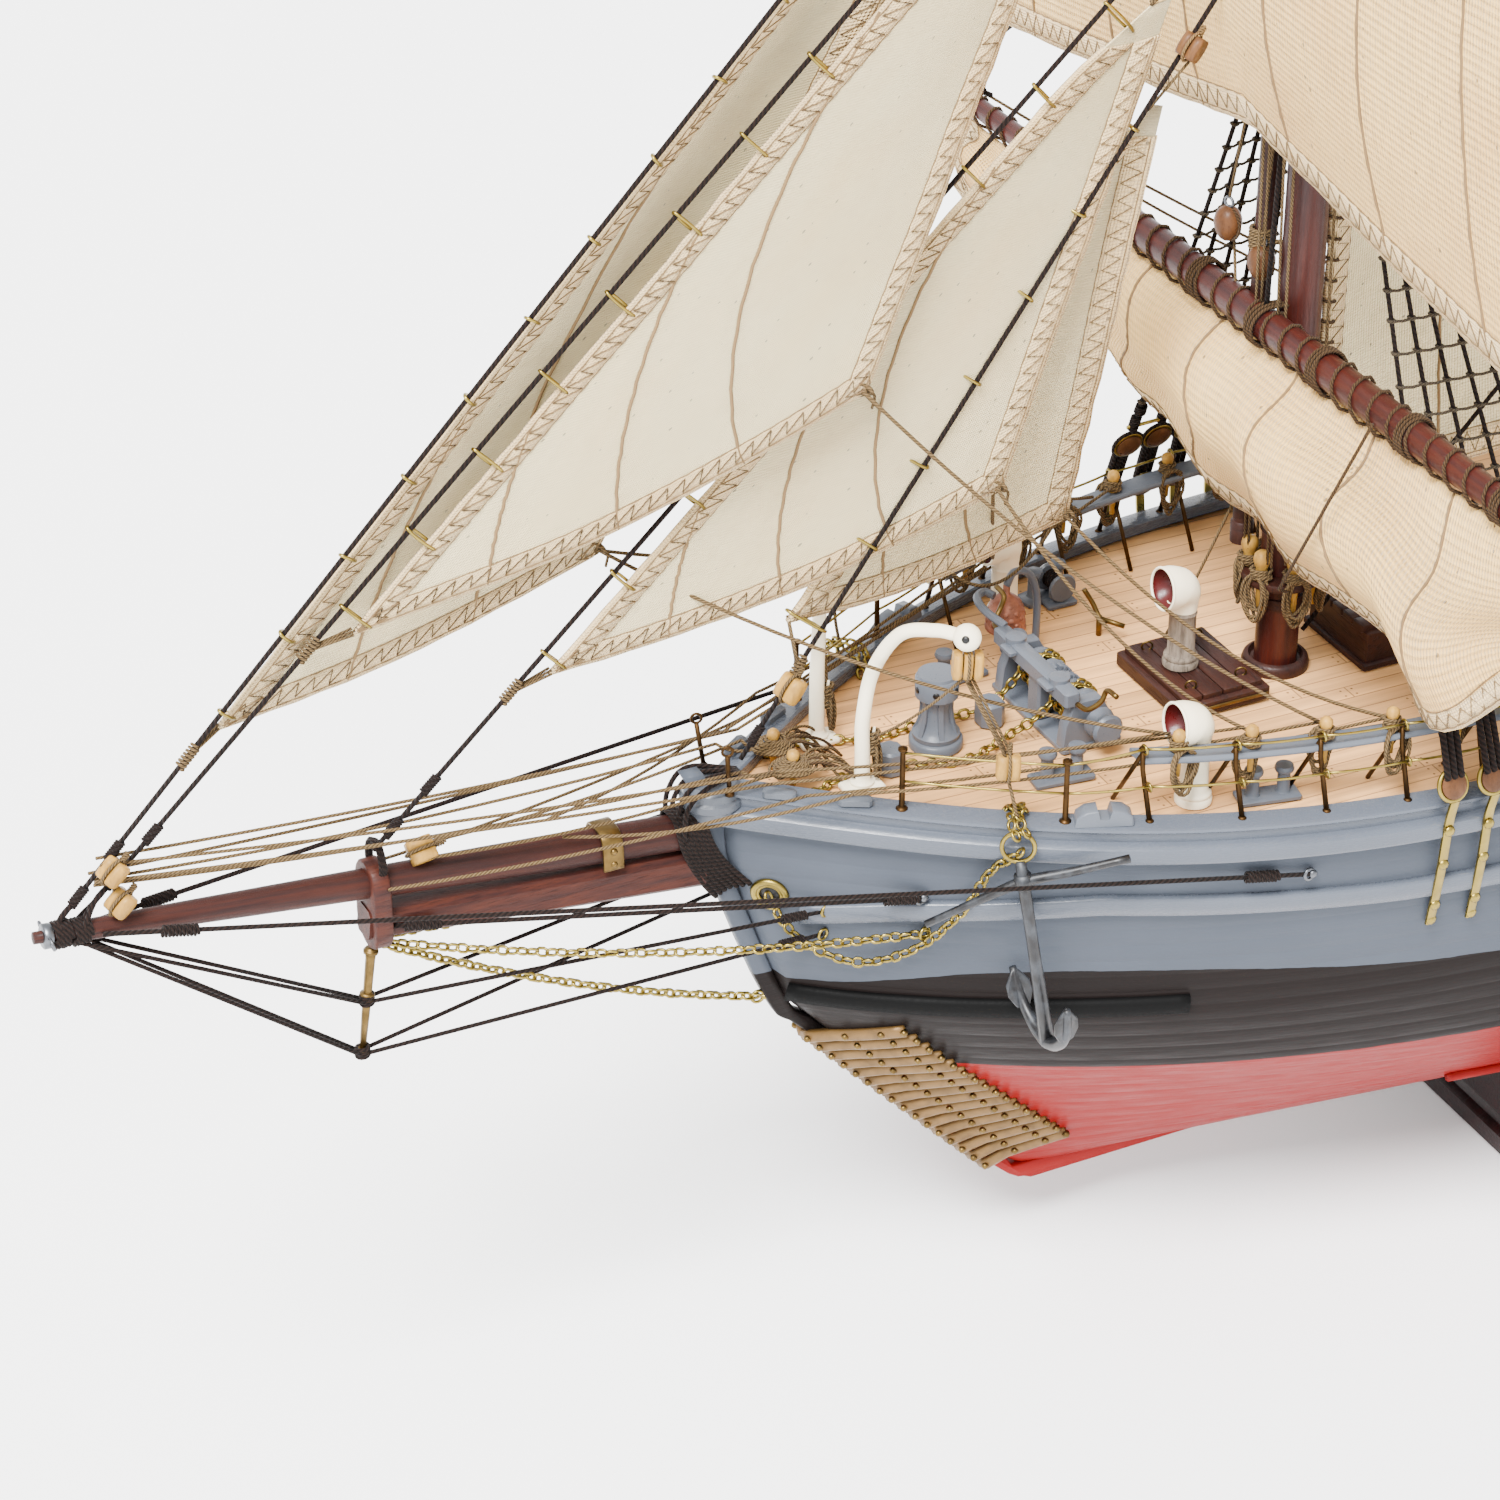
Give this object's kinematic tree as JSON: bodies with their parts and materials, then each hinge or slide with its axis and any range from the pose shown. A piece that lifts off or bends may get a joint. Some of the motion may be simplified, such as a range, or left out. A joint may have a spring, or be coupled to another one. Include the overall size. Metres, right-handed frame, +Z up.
{
  "type": "three-masted sailing ship display model",
  "caption": "Planked wooden display model of a three-masted auxiliary sailing ship with cloth sails, rigged spars, deck fittings and a wooden stand.",
  "frame": {"origin": "middle of the stand board's underside, below the middle of the hull", "axes": "+X from bow to stern, +Y to starboard, +Z up"},
  "size_m": [0.7435, 0.27, 0.5024],
  "materials": {
    "stand_mahogany": "satin varnish",
    "hull_paint": "satin hand-brushed paint",
    "plywood": "raw",
    "deck_planks": "matt sealed planks",
    "fitting_paint": "satin",
    "brass": "bright, slightly dulled",
    "copper": "dull hammered",
    "white_paint": "gloss",
    "black_iron": "worn black with grey edges",
    "varnished_wood": "satin varnish",
    "funnel_paint": "satin",
    "mahogany": "open-grain, satin",
    "sail_cotton": "plain-weave cotton",
    "dark_rope": "laid and waxed",
    "tan_rope": "laid",
    "boxwood": "turned, oiled",
    "red_paint": "satin"
  },
  "bodies": {
    "ship": {"stand_base": "stand_mahogany", "stand_cradle_fore": "stand_mahogany", "stand_cradle_aft": "stand_mahogany", "hull_planking": "hull_paint", "keel_and_stem": "hull_paint", "false_keel": "plywood", "bulkhead_fore": "plywood", "bulkhead_midship": "plywood", "bulkhead_aft": "plywood", "main_deck": "deck_planks", "cap_rail_port": "hull_paint", "cap_rail_starboard": "hull_paint", "pin_rail_port": "fitting_paint", "pin_rail_starboard": "fitting_paint", "ice_sheathing": "brass", "windlass_frame": "fitting_paint", "ship_bell": "copper", "fore_hatch": "varnished_wood", "cowl_vent_centre": "white_paint", "cowl_vent_port": "white_paint", "cowl_vent_starboard": "white_paint", "anchor_davit_port": "white_paint", "anchor_davit_starboard": "white_paint", "deckhouse": "varnished_wood", "funnel": "funnel_paint", "lifeboat_port": "white_paint", "lifeboat_starboard": "white_paint", "wheel_stand": "varnished_wood", "bowsprit": "mahogany", "jib_boom": "mahogany", "bowsprit_cap": "mahogany", "dolphin_striker": "brass", "foremast": "mahogany", "mainmast": "mahogany", "mizzenmast": "mahogany", "fore_yard": "mahogany", "fore_topsail_yard": "mahogany", "fore_topgallant_yard": "mahogany", "fore_gaff": "mahogany", "main_boom": "mahogany", "main_gaff": "mahogany", "mizzen_boom": "mahogany", "mizzen_gaff": "mahogany", "flying_jib": "sail_cotton", "jib": "sail_cotton", "inner_jib": "sail_cotton", "fore_staysail": "sail_cotton", "fore_course": "sail_cotton", "fore_topsail": "sail_cotton", "fore_topgallant_sail": "sail_cotton", "fore_spencer": "sail_cotton", "main_sail": "sail_cotton", "mizzen_sail": "sail_cotton"},
    "rudder_body": {"rudder": "hull_paint"},
    "propeller_body": {"propeller": "brass"},
    "steering_wheel_body": {"steering_wheel": "varnished_wood"},
    "capstan_body": {"capstan": "fitting_paint"},
    "windlass_barrel_body": {"windlass_barrel": "fitting_paint"},
    "anchor_port_body": {"anchor_port": "black_iron"},
    "anchor_starboard_body": {"anchor_starboard": "black_iron"}
  },
  "joints": [
    {"name": "rudder_pintles", "type": "hinge", "parent": "ship", "child": "rudder_body", "pos_m": [0.2586, 0, 0.05], "axis": [0, 0, 1], "range_deg": [-35, 35]},
    {"name": "propeller_spin", "type": "hinge", "parent": "ship", "child": "propeller_body", "pos_m": [0.2445, 0, 0.042], "axis": [1, 0, 0], "continuous": true},
    {"name": "steering_wheel_spin", "type": "hinge", "parent": "ship", "child": "steering_wheel_body", "pos_m": [0.236, 0, 0.14047], "axis": [1, 0, 0], "continuous": true},
    {"name": "capstan_spin", "type": "hinge", "parent": "ship", "child": "capstan_body", "pos_m": [-0.2675, 0, 0.128], "axis": [0, 0, 1], "continuous": true},
    {"name": "windlass_spin", "type": "hinge", "parent": "ship", "child": "windlass_barrel_body", "pos_m": [-0.24, 0, 0.13365], "axis": [0, 1, 0], "continuous": true},
    {"name": "anchor_port_swing", "type": "hinge", "parent": "ship", "child": "anchor_port_body", "pos_m": [-0.2706, -0.0386, 0.129], "axis": [-1, 0, 0], "range_deg": [0, 25]},
    {"name": "anchor_starboard_swing", "type": "hinge", "parent": "ship", "child": "anchor_starboard_body", "pos_m": [-0.2706, 0.0386, 0.129], "axis": [1, 0, 0], "range_deg": [0, 25]}
  ]
}
